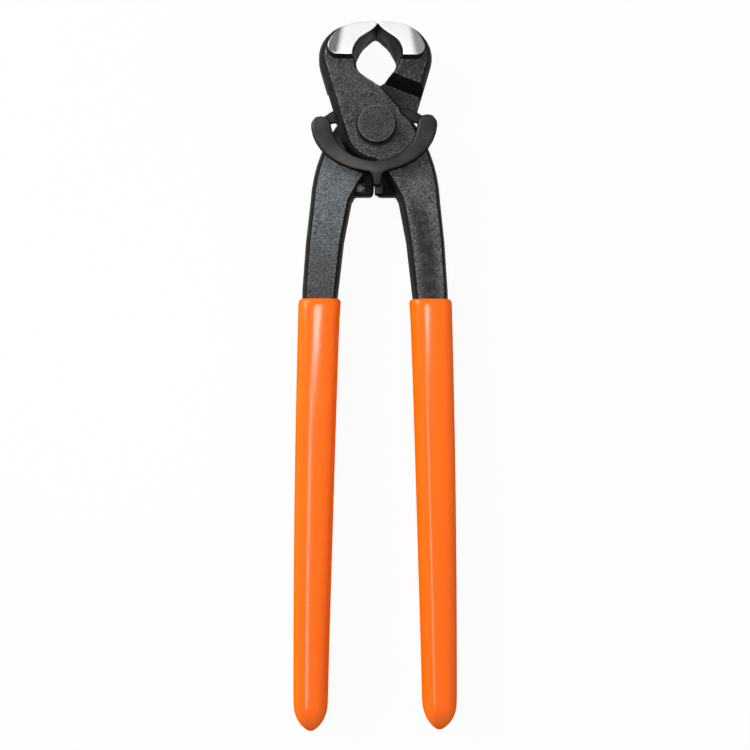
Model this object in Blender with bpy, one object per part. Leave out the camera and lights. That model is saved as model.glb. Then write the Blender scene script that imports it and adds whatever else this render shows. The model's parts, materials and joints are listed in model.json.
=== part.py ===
"""Wire twisting pliers: two identical forged levers on one rivet, a moulded stop yoke and dipped grips.

The tool lies on its back. +Z is the pivot axis and faces the viewer, +Y runs along the tool to the jaws.
The origin is on the pivot axis, at the end of the rivet's tail that the tool lies on.
Sizes are millimetres here and become metres when a mesh is made.
"""
from math import acos, atan2, copysign, cos, hypot, pi, radians, sin, tan

import bmesh
import bpy

MM = 0.001

# Clearances
FIT = 0.3                    # between pieces that touch
EDGE_GAP = 0.3               # between the two closed cutting edges

# Jaws
JAW_TOP = 35.75              # pivot axis to the top of the jaws
JAW_HALF_WIDTH = 19.85
JAW_ROUND = 10.9             # radius of a jaw's outer shoulder
SHOULDER_DROP = 0.35         # top of the jaws to the top of that shoulder
CUSP_DROP = 1.25             # top of the jaws to the cutting edges
CROWN_RUN = 1.9              # cutting edge to where a jaw's top is level
CROWN_INSET = 0.15           # slope of the jaw's top beside the cutting edge
TOP_INSET = 0.5              # slope of the jaw's top beside the shoulder
RIM_INSET = 2.2              # slope of a jaw's outer rim, face to parting line
THROAT_HALF_WIDTH = 7.2
THROAT_MIDDLE = 24.0         # pivot axis to the widest place of the throat
THROAT_LOW = 14.3            # pivot axis to the lowest place of the throat
GROUND_EDGE = 23.85          # pivot axis to the lower edge of the ground jaw pad
GROUND_STEP = 2.5            # height of the ground jaw pad over the forged face
GROUND_SLOPE = 0.9           # run of the pad's lower wall
GROUND_CORNER = 3.0          # radius of the pad's lower outer corner
GROUND_MARGIN = 0.3          # pad's base to the outer edge of the forged face
GROUND_LIP = 0.05            # pad's base to the edge of the throat
THROAT_INSET = 1.0           # flare of the throat towards its mouths, at its widest place
THROAT_UPRIGHT = 3.6         # pull of the throat's side, straight up from its widest place
EDGE_PULL = (4.2, 2.7)       # pull of the throat's curve at the cutting edge: outwards and down
THROAT_FLOOR_PULL = (5.7, 2.5)  # pull at the throat's lowest place: outwards and up
THROAT_DOWNRIGHT = 5.2       # pull of the throat's side, straight down from its widest place
EDGE_OVERHANG = 0.6          # how far the throat closes in towards its mouths near the cutting edge

# Forged joint
FACE_HEIGHT = 8.5            # joint's middle plane to a lever's outer face
BOSS_RADIUS = 12.6
BOSS_CENTRE = (0.3, -1.0)    # from the pivot axis
BOSS_INSET = 2.5             # slope of the boss's flank
BOSS_FOOT = 264.0            # degrees round the boss to where the handle's inner side leaves it
EDGE_ROLL = 1.2              # height of the rounded upper part of a forged flank
EDGE_ROLL_SHARE = 0.45       # share of the inset that is left under the rounded part
FLANK_DRAFT = 5.0            # height of the sloped flank
# Notch between a handle's shoulder and the diagonal to the throat: x, y and the face's inset
NOTCH = ((13.3, 2.2, 2.3), (11.5, 3.6, 1.7), (10.1, 4.2, 1.3), (9.2, 5.2, 1.2), (9.0, 7.2, 1.7))
CROTCH_PULL = 7.3            # pull of the handle's inner side where it leaves the boss, inwards
CROTCH_END_PULL = (3.8, 7.5)  # pull where it turns down the handle: inwards and up
SHOULDER_PULL = (0.6, 11.0)  # pull of the handle's outer side below its shoulder: inwards and up
SHOULDER_INSET = 1.6
SHOULDER_TOP = (18.8, -5.6, 2.3)  # pull of the shoulder towards the notch: x, y and the face's inset
CROTCH_INSET = 1.7           # slope of the handle's inner flank below the boss
CROSSING_SHIFT = 1.2         # middle of the tool to the lowest place of the throat
CROSSING_INSET = 0.7         # slope of the diagonal's flank at the throat
YOKE_PLATE = 2.6             # thickness of the yoke's plate between the levers
POCKET_GAP = 1.5             # turning boss to the lap pocket's wall on the handle, at the floor
POCKET_REACH = 17.1          # pivot axis to the pocket's wall on the jaw, at the floor
POCKET_TURN = 22.5           # degrees that the wall on the jaw turns from square to the tool
POCKET_SLOPE = 0.24          # run of the pocket's walls for each millimetre of height

# Handles
HANDLE_INSET = 1.8           # slope of a handle's flanks, face to parting line
HANDLE_DEPTH = 5.5           # joint's middle plane to a handle's face, under the grip
ROOT_DEPTH = 4.6             # the same at the handle's root, on the lap side
FACE_END = 14.0              # pivot axis to where the outer face starts to fall towards the handle
HANDLE_REACH = 212.3         # pivot axis to the ends of the grips
GRIP_START = 59.9            # pivot axis to the upper ends of the grips
# Distance below the pivot axis, centre line's distance from the middle, half width
SHANK = ((26.0, 15.55, 7.3), (40.0, 17.7, 6.75), (57.0, 19.3, 6.4))
TANG = ((65.0, 19.85, 6.0), (90.0, 20.6, 5.85), (120.0, 21.35, 5.7), (160.0, 22.15, 5.3),
        (196.0, 22.75, 4.8))
TANG_END = 206.0             # pivot axis to the end of the tang
TANG_END_HALF_WIDTH = 2.8
TANG_END_DEPTH = 3.5
TANG_TAPER = 9.0             # length of the tang's thinning end
TANG_SHOULDER = 2.5          # length of the tang's rounded end

# Stop lugs
LUG_TOP = 15.4               # pivot axis to the upper end of a lug
LUG_BOTTOM = 23.8            # pivot axis to its lower end
LUG_DEPTH = 2.8              # middle plane to its faces
LUG_GAP_TOP = 0.6            # between the two lugs
LUG_GAP_BOTTOM = 1.1
LUG_EDGE = 0.7               # rounding of a lug's edges
LUG_CORNER = 1.3             # radius of a lug's lower corner

# Rivet
SHANK_RADIUS = 4.0
HEAD_RADIUS = 6.35
HEAD_HEIGHT = 2.8
HEAD_CHAMFER = 0.5
TAIL_RADIUS = 5.6
TAIL_HEIGHT = 1.6
WASHER_RADIUS = 7.0
WASHER_THICKNESS = 1.0
WASHER_CHAMFER = 0.3
BUSH_WALL = 1.2

# Stop yoke
YOKE_OUTER_HALF_WIDTH = 21.8
YOKE_OUTER_DROP = 16.7       # pivot axis to the bottom of the crescent
YOKE_INNER_RADIUS = 16.0
YOKE_INNER_RISE = 3.1        # pivot axis up to the centre of the inner curve
YOKE_HORN_TOP = 2.75
# Rounded end of the right horn, from its outer side over the top and down its inner side
HORN_END = ((21.65, 0.3), (21.15, 1.2), (20.1, 2.4), (18.3, YOKE_HORN_TOP), (16.6, 2.4), (15.6, 1.5),
            (15.0, 0.1), (14.65, -1.7), (14.05, -3.9))
YOKE_FRONT = 3.5             # thickness of the crescent
YOKE_LIFT = 0.5              # forged face to the back of the crescent
YOKE_EDGE = 0.9              # rounding of the crescent's front edge
YOKE_BACK_EDGE = 0.4         # rounding of its back edge
STEM_HALF_WIDTH = 1.55
STEM_END = 21.6
STEM_SHIFT = 0.5             # middle of the crescent to the middle of the stem
STEM_FOOT_TOP = 17.6
FOOT_TOP = 19.5              # pivot axis to the upper end of the stem's foot, in front of the lugs
FOOT_END = 23.9
FOOT_SHIFT = 1.3             # middle of the crescent to the middle of the foot
FOOT_HALF_WIDTH = 1.5
FOOT_FRONT = 7.5             # middle plane to the front of the foot
FOOT_EDGE = 0.4              # rounding of the foot's edges
BRIDGE_RADIUS = 8.6
BRIDGE_RISE = 4.3            # pivot axis up to the outer ends of the bridge arms
BRIDGE_ARM_WIDTH = 3.7
BRIDGE_CORNER = 0.6
POST_WIDTH = 2.8
POST_INSET = 1.2             # horn's outer side to the post's
YOKE_LEAN = 1.5              # degrees that the yoke leans in its free play
YOKE_PLAY = 0.75             # how far it sits to the left in that play

# Grips
GRIP_WALL = 1.35             # dipped plastic over the tang's flanks
GRIP_HALF_DEPTH = 6.9
GRIP_SQUARENESS = 3.2        # exponent of the section's rounded rectangle
GRIP_TIP = 10.3              # length of the pointed end
GRIP_TIP_POWER = 0.68
GRIP_LIP = 0.5               # rounding of the upper edge

# Numbers of facets
ROUND_SIDES = 40
GRIP_SIDES = 28
SHOULDER_STEPS = 9
BOSS_STEPS = 8
THROAT_STEPS = 6
CROTCH_STEPS = 6
HANDLE_SHOULDER_STEPS = 7
CORNER_ANGLES = (195, 214, 233, 252, 270)

LAP = YOKE_PLATE / 2 + FIT
BORE_RADIUS = SHANK_RADIUS + FIT
REST_HEIGHT = FACE_HEIGHT + FIT + WASHER_THICKNESS + FIT + TAIL_HEIGHT


# Curves in the plane of the tool

def along_line(start, end, steps):
    """Points from start to just before end."""
    shares = [step / steps for step in range(steps)]
    return [tuple(a + (b - a) * share for a, b in zip(start, end)) for share in shares]


def along_bezier(start, handle_a, handle_b, end, steps):
    """Points of a cubic curve from start to just before end; each has x, y and the face's inset."""
    points = []
    for step in range(steps):
        t = step / steps
        weights = ((1 - t) ** 3, 3 * t * (1 - t) ** 2, 3 * t * t * (1 - t), t ** 3)
        corners = (start, handle_a, handle_b, end)
        points.append(tuple(sum(w * c[axis] for w, c in zip(weights, corners)) for axis in range(3)))
    return points


def on_circle(centre, radius, angle):
    return centre[0] + radius * cos(angle), centre[1] + radius * sin(angle)


def between(value, knots):
    """Straight-line reading of (place, height) knots, with places in falling order."""
    if value >= knots[0][0]:
        return knots[0][1]
    for (place_a, height_a), (place_b, height_b) in zip(knots, knots[1:]):
        if value >= place_b:
            share = (value - place_a) / (place_b - place_a)
            return height_a + (height_b - height_a) * share
    return knots[-1][1]


# Meshes

def new_object(name, bm):
    """Closes a bmesh, given in millimetres, into an object in metres whose faces are all flat."""
    bmesh.ops.remove_doubles(bm, verts=bm.verts, dist=0.0005)
    bmesh.ops.connect_verts_nonplanar(bm, angle_limit=radians(0.1), faces=bm.faces)
    bmesh.ops.recalc_face_normals(bm, faces=bm.faces)
    bmesh.ops.scale(bm, vec=(MM, MM, MM), verts=bm.verts)
    mesh = bpy.data.meshes.new(name)
    bm.to_mesh(mesh)
    bm.free()
    obj = bpy.data.objects.new(name, mesh)
    bpy.context.scene.collection.objects.link(obj)
    return obj


def lofted(rings):
    """A closed solid through rings of as many points each, capped at both ends."""
    bm = bmesh.new()
    loops = [[bm.verts.new(point) for point in ring] for ring in rings]
    for lower, upper in zip(loops, loops[1:]):
        for index in range(len(lower)):
            following = (index + 1) % len(lower)
            bm.faces.new((lower[index], lower[following], upper[following], upper[index]))
    bm.faces.new(reversed(loops[0]))
    bm.faces.new(loops[-1])
    return bm


def inset_ring(outline, height, share):
    """The outline at a height, each point moved inwards by a share of its own inset."""
    ring = []
    for index, (x, y, inset) in enumerate(outline):
        before = outline[index - 1]
        after = outline[(index + 1) % len(outline)]
        along_x = after[0] - before[0]
        along_y = after[1] - before[1]
        length = hypot(along_x, along_y)
        ring.append((x - along_y / length * inset * share, y + along_x / length * inset * share, height))
    return ring


def turned(name, profile):
    """A solid of revolution about the pivot axis from a closed profile of (radius, height) points."""
    bm = bmesh.new()
    corners = [bm.verts.new((radius, 0, height)) for radius, height in profile]
    pairs = zip(corners, corners[1:] + corners[:1])
    edges = [bm.edges.new(pair) for pair in pairs if pair[0].co.x > 0 or pair[1].co.x > 0]
    bmesh.ops.spin(bm, geom=corners + edges, cent=(0, 0, 0), axis=(0, 0, 1), angle=2 * pi,
                   steps=ROUND_SIDES, use_merge=True)
    bmesh.ops.remove_doubles(bm, verts=bm.verts, dist=0.0005)
    bmesh.ops.dissolve_verts(bm, verts=[vert for vert in bm.verts if hypot(vert.co.x, vert.co.y) < FIT])
    return new_object(name, bm)


def cut_or_join(obj, other, operation):
    """Cuts the other object from obj, or joins it to obj, and removes the other object."""
    modifier = obj.modifiers.new(operation.lower(), "BOOLEAN")
    modifier.operation = operation
    modifier.solver = "EXACT"
    modifier.object = other
    bpy.context.view_layer.update()
    evaluated = obj.evaluated_get(bpy.context.evaluated_depsgraph_get())
    mesh = bpy.data.meshes.new_from_object(evaluated)
    obj.modifiers.clear()
    obj.data = mesh
    bpy.data.objects.remove(other)


def material(name, colour, roughness, metallic):
    made = bpy.data.materials.new(name)
    made.use_nodes = True
    shader = made.node_tree.nodes["Principled BSDF"]
    shader.inputs["Base Color"].default_value = (*colour, 1)
    shader.inputs["Roughness"].default_value = roughness
    shader.inputs["Metallic"].default_value = metallic
    return made


def finish(obj, name, made, axis, smooth_angle=35):
    """Names a piece, gives it its material and hangs it on the pivot axis."""
    obj.name = name
    obj.data.name = name
    obj.data.materials.clear()
    obj.data.materials.append(made)
    obj.data.shade_smooth()
    obj.data.set_sharp_from_angle(angle=radians(smooth_angle))
    obj.parent = axis


# Lever

def jaw_outline():
    """From the cutting edge over the top and down the outer flank to the foot of the boss."""
    centre = (JAW_ROUND - JAW_HALF_WIDTH, JAW_TOP - SHOULDER_DROP - JAW_ROUND)
    cusp = (-EDGE_GAP / 2, JAW_TOP - CUSP_DROP, 0.0)
    crown = (-EDGE_GAP / 2 - CROWN_RUN, JAW_TOP, CROWN_INSET)
    points = [cusp] + along_line(crown, (centre[0], centre[1] + JAW_ROUND, TOP_INSET), 2)
    # The straight flank touches the jaw's shoulder and the boss: one normal serves both circles
    across = BOSS_CENTRE[0] - centre[0]
    along = BOSS_CENTRE[1] - centre[1]
    normal = atan2(along, across) - acos((JAW_ROUND - BOSS_RADIUS) / hypot(across, along)) + 2 * pi
    for step in range(SHOULDER_STEPS + 1):
        angle = pi / 2 + (normal - pi / 2) * step / SHOULDER_STEPS
        inset = TOP_INSET + (RIM_INSET - TOP_INSET) * min(1, 2 * step / SHOULDER_STEPS)
        points.append((*on_circle(centre, JAW_ROUND, angle), inset))
    for step in range(BOSS_STEPS):
        angle = normal + (radians(BOSS_FOOT) - normal) * step / BOSS_STEPS
        points.append((*on_circle(BOSS_CENTRE, BOSS_RADIUS, angle), BOSS_INSET))
    return points


def upper_throat(cusp):
    """From the widest place of the throat up to just before the cutting edge."""
    belly = (-THROAT_HALF_WIDTH, THROAT_MIDDLE, THROAT_INSET)
    side_pull = (belly[0], belly[1] + THROAT_UPRIGHT, THROAT_INSET)
    edge_pull = (-EDGE_PULL[0], cusp[1] - EDGE_PULL[1], -EDGE_OVERHANG)
    return along_bezier(belly, side_pull, edge_pull, cusp, THROAT_STEPS)


def handle_sides(stations):
    """Inner edge from the joint down, and outer edge from the end up."""
    inner = [(middle - half, -below, HANDLE_INSET) for below, middle, half in stations]
    outer = [(middle + half, -below, HANDLE_INSET) for below, middle, half in reversed(stations)]
    return inner, outer


def tang_stations(clearance=0.0):
    """The handle's stations under the grip, with the rounded end."""
    below, middle, half = TANG[-1]
    slope = (middle - TANG[-2][1]) / (below - TANG[-2][0])
    end = TANG_END + clearance
    end_middle = middle + slope * (end - below)
    shoulder = end - TANG_SHOULDER
    shoulder_half = TANG_END_HALF_WIDTH + 0.6 * (half - TANG_END_HALF_WIDTH)
    stations = [(place, line, width + clearance) for place, line, width in TANG]
    stations.append((shoulder, end_middle, shoulder_half + clearance))
    stations.append((end, end_middle, TANG_END_HALF_WIDTH + clearance))
    return stations


def lever_outline():
    """The parting line of the lever with the left jaw and the right handle, anticlockwise."""
    jaw = jaw_outline()
    inner, outer = handle_sides([*SHANK, *tang_stations()])
    boss_foot = (*on_circle(BOSS_CENTRE, BOSS_RADIUS, radians(BOSS_FOOT)), BOSS_INSET)
    inner_x, inner_y, _ = inner[0]
    crotch_pull = (inner_x - CROTCH_PULL, -FACE_END, CROTCH_INSET)
    crotch_end = (inner_x - CROTCH_END_PULL[0], inner_y + CROTCH_END_PULL[1], CROTCH_INSET)
    crotch = along_bezier(boss_foot, crotch_pull, crotch_end, inner[0], CROTCH_STEPS)
    outer_x, outer_y, _ = outer[-1]
    shoulder_pull = (outer_x - SHOULDER_PULL[0], outer_y + SHOULDER_PULL[1], SHOULDER_INSET)
    shoulder = along_bezier(outer[-1], shoulder_pull, SHOULDER_TOP, NOTCH[0], HANDLE_SHOULDER_STEPS)
    crossing = (CROSSING_SHIFT, THROAT_LOW, CROSSING_INSET)
    diagonal = [*NOTCH[:-1]] + along_line(NOTCH[-1], crossing, 2)
    upper = upper_throat(jaw[0])
    belly_x, belly_y, flare = upper[0]
    floor_pull = (crossing[0] - THROAT_FLOOR_PULL[0], crossing[1] + THROAT_FLOOR_PULL[1], 0.2)
    lower = along_bezier(crossing, floor_pull, (belly_x, belly_y - THROAT_DOWNRIGHT, flare), upper[0],
                         THROAT_STEPS)
    return jaw + crotch + inner + outer[:-1] + shoulder + diagonal + lower + upper


def front_heights():
    """Height of the outer face over the middle plane, from the jaws to the end of the tang."""
    return ((-FACE_END, FACE_HEIGHT), (-GRIP_START + 2, HANDLE_DEPTH),
            (-TANG_END + TANG_TAPER, HANDLE_DEPTH), (-TANG_END, TANG_END_DEPTH))


def lap_heights():
    """The same on the lap side, where the handle starts lower behind the pocket."""
    return ((2, FACE_HEIGHT), (-6, ROOT_DEPTH), (-40, HANDLE_DEPTH), (-TANG_END + TANG_TAPER, HANDLE_DEPTH),
            (-TANG_END, TANG_END_DEPTH))


def forged_body():
    """The lever's full-depth forging, before its lap pocket and hole are cut."""
    outline = lever_outline()
    shares = (1, EDGE_ROLL_SHARE, 0, 0, EDGE_ROLL_SHARE, 1)
    levels = (-3, -2, -1, 1, 2, 3)
    bm = lofted([inset_ring(outline, level, share) for level, share in zip(levels, shares)])
    front = front_heights()
    lap = lap_heights()
    for place in sorted({knot[0] for knot in front + lap}):
        geometry = bm.verts[:] + bm.edges[:] + bm.faces[:]
        bmesh.ops.bisect_plane(bm, geom=geometry, dist=0.001, plane_co=(0, place, 0), plane_no=(0, 1, 0))
    for vert in bm.verts:
        top = between(vert.co.y, front)
        low = -between(vert.co.y, lap)
        heights = ((3, top), (2, top - EDGE_ROLL), (1, top - FLANK_DRAFT),
                   (-1, low + FLANK_DRAFT), (-2, low + EDGE_ROLL), (-3, low))
        vert.co.z = between(vert.co.z, heights)
    return new_object("lever", bm)


def ground_pad(side):
    """The raised pad on a jaw's face whose top is ground bright; side is 1 in front and -1 behind."""
    height = side * (FACE_HEIGHT - 1)
    jaw = jaw_outline()
    upper = upper_throat(jaw[0])
    rim = inset_ring([(x, y, inset + GROUND_MARGIN) for x, y, inset in jaw], height, 1)
    corner_y = GROUND_EDGE + GROUND_CORNER
    outer = [point for point in rim if point[1] > corner_y]
    corner = (outer[-1][0] + GROUND_CORNER, corner_y)
    round_end = [(*on_circle(corner, GROUND_CORNER, radians(angle)), height) for angle in CORNER_ANGLES]
    throat = inset_ring([(x, y, inset + GROUND_LIP) for x, y, inset in [*jaw, *upper]], height, 1)
    inner = throat[len(jaw) + 1:]
    heel = (upper[0][0] - THROAT_INSET - GROUND_LIP, GROUND_EDGE, height)
    base_ring = outer + round_end + [heel] + inner
    top_ring = [(x, y, side * (FACE_HEIGHT + GROUND_STEP)) for x, y, _ in base_ring]
    # The lower wall slopes out towards the forged face
    run = GROUND_SLOPE * (GROUND_STEP + 1) / GROUND_STEP
    for index in range(len(outer), len(outer) + len(round_end) + 1):
        x, y, level = base_ring[index]
        base_ring[index] = (x, y - run * min(1, (corner_y - y) / GROUND_CORNER), level)
    return new_object("pad", lofted([base_ring, top_ring][::side]))


def pocket_cutter():
    """What the lap pocket takes away: a straight wall across the jaw, a round one at the handle's root."""
    turn = radians(90 + POCKET_TURN)
    radius = BOSS_RADIUS + hypot(*BOSS_CENTRE) + POCKET_GAP
    far = 2 * JAW_HALF_WIDTH
    wall = on_circle((0, 0), POCKET_REACH, turn)
    slant = tan(radians(POCKET_TURN))
    round_wall = [(*on_circle((0, 0), radius, radians(angle)), 1) for angle in range(184, 341, 6)]
    outline = [(-far, wall[1] + slant * (-far - wall[0]), 1), *round_wall, (far, round_wall[-1][1], 1),
               (far, wall[1] + slant * (far - wall[0]), 1)]
    low = -2 * FACE_HEIGHT
    rings = [inset_ring(outline, low, -POCKET_SLOPE * (LAP - low)), inset_ring(outline, LAP, 0)]
    return new_object("pocket", lofted(rings))


def stop_lug():
    """The block on the handle's inner side that meets the other lever's block."""
    inside = SHANK[0][1]
    edge = LUG_EDGE
    low_x = LUG_GAP_BOTTOM / 2
    centre = (low_x + LUG_CORNER, LUG_CORNER - LUG_BOTTOM)
    corner = [(*on_circle(centre, LUG_CORNER, radians(angle)), edge) for angle in (180, 210, 240, 270)]
    outline = [(LUG_GAP_TOP / 2, -LUG_TOP, edge), *corner, (inside, -LUG_BOTTOM, 0.0),
               (inside, -LUG_TOP, 0.0)]
    levels = ((-LUG_DEPTH, 1), (edge - LUG_DEPTH, 0), (LUG_DEPTH - edge, 0), (LUG_DEPTH, 1))
    return new_object("lug", lofted([inset_ring(outline, level, share) for level, share in levels]))


def bore_cutter(radius, half_length):
    circle = [on_circle((0, 0), radius, 2 * pi * side / ROUND_SIDES) for side in range(ROUND_SIDES)]
    rings = [[(x, y, height) for x, y in circle] for height in (-half_length, half_length)]
    return new_object("bore", lofted(rings))


def make_levers(steel, axis):
    """One forging; the rear lever is the same one turned over about the tool's length."""
    lever = forged_body()
    cut_or_join(lever, stop_lug(), "UNION")
    for side in (-1, 1):
        cut_or_join(lever, ground_pad(side), "UNION")
    cut_or_join(lever, pocket_cutter(), "DIFFERENCE")
    cut_or_join(lever, bore_cutter(BORE_RADIUS, 2 * FACE_HEIGHT), "DIFFERENCE")
    rear = bpy.data.objects.new("rear_lever", lever.data.copy())
    bpy.context.scene.collection.objects.link(rear)
    rear.rotation_euler = (0, pi, 0)
    finish(lever, "front_lever", steel, axis)
    finish(rear, "rear_lever", steel, axis)


# Pivot

def make_pivot(steel, axis):
    head_base = FACE_HEIGHT + FIT
    head_top = head_base + HEAD_HEIGHT
    tail_base = -REST_HEIGHT + TAIL_HEIGHT
    rivet = turned("pivot_rivet", (
        (0, head_top), (HEAD_RADIUS - HEAD_CHAMFER, head_top), (HEAD_RADIUS, head_top - HEAD_CHAMFER),
        (HEAD_RADIUS, head_base), (SHANK_RADIUS, head_base), (SHANK_RADIUS, tail_base),
        (TAIL_RADIUS, tail_base), (TAIL_RADIUS, HEAD_CHAMFER - REST_HEIGHT),
        (TAIL_RADIUS - HEAD_CHAMFER, -REST_HEIGHT), (0, -REST_HEIGHT)))
    finish(rivet, "pivot_rivet", steel, axis)
    washer_top = -FACE_HEIGHT - FIT
    washer_low = washer_top - WASHER_THICKNESS
    washer = turned("rivet_washer", (
        (BORE_RADIUS, washer_top), (WASHER_RADIUS, washer_top),
        (WASHER_RADIUS, washer_low + WASHER_CHAMFER), (WASHER_RADIUS - WASHER_CHAMFER, washer_low),
        (BORE_RADIUS, washer_low)))
    finish(washer, "rivet_washer", steel, axis)
    bush_half = LAP - FIT
    bush_radius = BORE_RADIUS + BUSH_WALL
    bush = turned("pivot_bush", ((BORE_RADIUS, bush_half), (bush_radius, bush_half),
                                 (bush_radius, -bush_half), (BORE_RADIUS, -bush_half)))
    finish(bush, "pivot_bush", steel, axis)


# Stop yoke

def crescent_outline():
    """The yoke's front: two horns round the boss and a stem towards the stop lugs, anticlockwise."""
    a, b = YOKE_OUTER_HALF_WIDTH, YOKE_OUTER_DROP
    edge = YOKE_EDGE
    left = [(a * cos(radians(angle)), b * sin(radians(angle)), edge) for angle in range(184, 260, 9)]
    stem = ((1.7, -b - 0.15, 1.0), (1.15, -b - 1.3, 0.8), (1.0, -b - 2.8, 0.7), (0.85, -STEM_END + 0.4, 0.6),
            (0.5, -STEM_END, 0.5))
    stem_left = [(STEM_SHIFT - STEM_HALF_WIDTH * across, y, edge * share) for across, y, share in stem]
    stem_right = [(2 * STEM_SHIFT - x, y, inset) for x, y, inset in reversed(stem_left)]
    outer = left + stem_left + stem_right + [(-x, y, inset) for x, y, inset in reversed(left)]
    tip = [(x, y, edge) for x, y in HORN_END]
    inner = [(*on_circle((0, YOKE_INNER_RISE), YOKE_INNER_RADIUS, radians(angle)), edge)
             for angle in range(-36, -145, -9)]
    return outer + tip + inner + [(-x, y, inset) for x, y, inset in reversed(tip)]


def bridge_outline():
    """The yoke's plate between the levers: a disc round the bush and an arm to each horn."""
    end_x = YOKE_OUTER_HALF_WIDTH - POST_INSET
    top = BRIDGE_RISE
    low = BRIDGE_RISE - BRIDGE_ARM_WIDTH
    right_top = [(end_x, low, 0), (end_x, top - BRIDGE_CORNER, 0), (end_x - BRIDGE_CORNER, top, 0),
                 (end_x * 0.83, top + 0.5, 0), (end_x * 0.7, top + 2.3, 0),
                 (end_x * 0.3, BRIDGE_RADIUS - 0.5, 0)]
    left_top = [(-x, y, inset) for x, y, inset in reversed(right_top)]
    disc = []
    for step in range(11):
        angle = radians(192 + 156 * step / 10)
        disc.append((*on_circle((0, 0), BRIDGE_RADIUS, angle), 0))
    elbow = (end_x * 0.65, low + 2.2, 0)
    return right_top + [(0, BRIDGE_RADIUS, 0)] + left_top + [(-elbow[0], elbow[1], 0)] + disc + [elbow]


def horn_post(side, back, front):
    """The leg from a horn's tip back to the plate between the levers, between two heights."""
    outer_x = YOKE_OUTER_HALF_WIDTH - POST_INSET
    inner_x = outer_x - POST_WIDTH
    corner = BRIDGE_CORNER + 0.1
    rings = []
    for height, top in ((back, BRIDGE_RISE), (0.0, BRIDGE_RISE), (front, YOKE_HORN_TOP - 0.4)):
        low = top - BRIDGE_ARM_WIDTH
        rings.append([(side * inner_x, low, height), (side * outer_x, low, height),
                      (side * outer_x, top - corner, height), (side * (outer_x - corner), top, height),
                      (side * inner_x, top, height)])
    return new_object("post", lofted(rings))


def box_between(name, across, along, heights, edge):
    """An upright box whose lower corners, and whose front face, are cut back by an edge."""
    outline = [(across[0], along[0] + edge, edge), (across[0] + edge, along[0], edge),
               (across[1] - edge, along[0], edge), (across[1], along[0] + edge, edge),
               (across[1], along[1], edge), (across[0], along[1], edge)]
    levels = ((heights[0], 0), (heights[1] - edge, 0), (heights[1], 1))
    return new_object(name, lofted([inset_ring(outline, level, share) for level, share in levels]))


def make_yoke(moulding, axis):
    back = FACE_HEIGHT + YOKE_LIFT
    front = back + YOKE_FRONT
    levels = ((back, 0.3), (back + YOKE_BACK_EDGE, 0), (front - YOKE_EDGE, 0),
              (front - 0.3 * YOKE_EDGE, 0.35), (front, 1))
    outline = crescent_outline()
    yoke = new_object("yoke", lofted([inset_ring(outline, level, share) for level, share in levels]))
    half = YOKE_PLATE / 2
    plate = new_object("plate", lofted([inset_ring(bridge_outline(), level, 0) for level in (-half, half)]))
    for side in (-1, 1):
        cut_or_join(plate, horn_post(side, 0.1 - half, front - 1.5), "UNION")
    cut_or_join(yoke, plate, "UNION")
    neck_half = STEM_HALF_WIDTH * 0.75
    neck = box_between("neck", (STEM_SHIFT - neck_half, STEM_SHIFT + neck_half),
                       (-STEM_END + 0.5, -STEM_FOOT_TOP), (FOOT_FRONT - 1, back + 1), FOOT_EDGE)
    foot = box_between("foot", (FOOT_SHIFT - FOOT_HALF_WIDTH, FOOT_SHIFT + FOOT_HALF_WIDTH),
                       (-FOOT_END, -FOOT_TOP), (LUG_DEPTH + YOKE_LIFT, FOOT_FRONT), FOOT_EDGE)
    cut_or_join(neck, foot, "UNION")
    cut_or_join(yoke, neck, "UNION")
    hole = BORE_RADIUS + BUSH_WALL + FIT + YOKE_PLAY
    cut_or_join(yoke, bore_cutter(hole, half + 1), "DIFFERENCE")
    yoke.rotation_euler = (0, 0, radians(YOKE_LEAN))
    yoke.location = (-YOKE_PLAY * MM, 0, 0)
    finish(yoke, "stop_yoke", moulding, axis)


# Grips

def grip_section(middle, half_width, half_depth, below):
    ring = []
    for side in range(GRIP_SIDES):
        angle = 2 * pi * side / GRIP_SIDES
        across = copysign(abs(cos(angle)) ** (2 / GRIP_SQUARENESS), cos(angle))
        up = copysign(abs(sin(angle)) ** (2 / GRIP_SQUARENESS), sin(angle))
        ring.append((middle + half_width * across, -below, half_depth * up))
    return ring


def tang_reading(below, column):
    """The tang's centre line (column 1) or half width (column 2) at a distance below the pivot axis."""
    return between(-below, [(-station[0], station[column]) for station in (SHANK[-1], *TANG)])


def grip_rings():
    """Sections of the dipped sleeve, from its upper edge to its pointed end."""
    tip_start = HANDLE_REACH - GRIP_TIP
    places = [GRIP_START + 1.2] + [station[0] for station in TANG[1:-1]] + [tip_start]
    rings = []
    first_half = tang_reading(GRIP_START, 2) + GRIP_WALL
    first_middle = tang_reading(GRIP_START, 1)
    rings.append(grip_section(first_middle, first_half - GRIP_LIP, GRIP_HALF_DEPTH - GRIP_LIP, GRIP_START))
    for place in places:
        half = tang_reading(place, 2) + GRIP_WALL
        rings.append(grip_section(tang_reading(place, 1), half, GRIP_HALF_DEPTH, place))
    last_half = tang_reading(tip_start, 2) + GRIP_WALL
    last_middle = tang_reading(tip_start, 1)
    for share in (0.25, 0.45, 0.63, 0.78, 0.9, 0.98):
        size = (1 - share * share) ** GRIP_TIP_POWER
        place = tip_start + GRIP_TIP * share
        rings.append(grip_section(last_middle, last_half * size, GRIP_HALF_DEPTH * size, place))
    return rings


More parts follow.
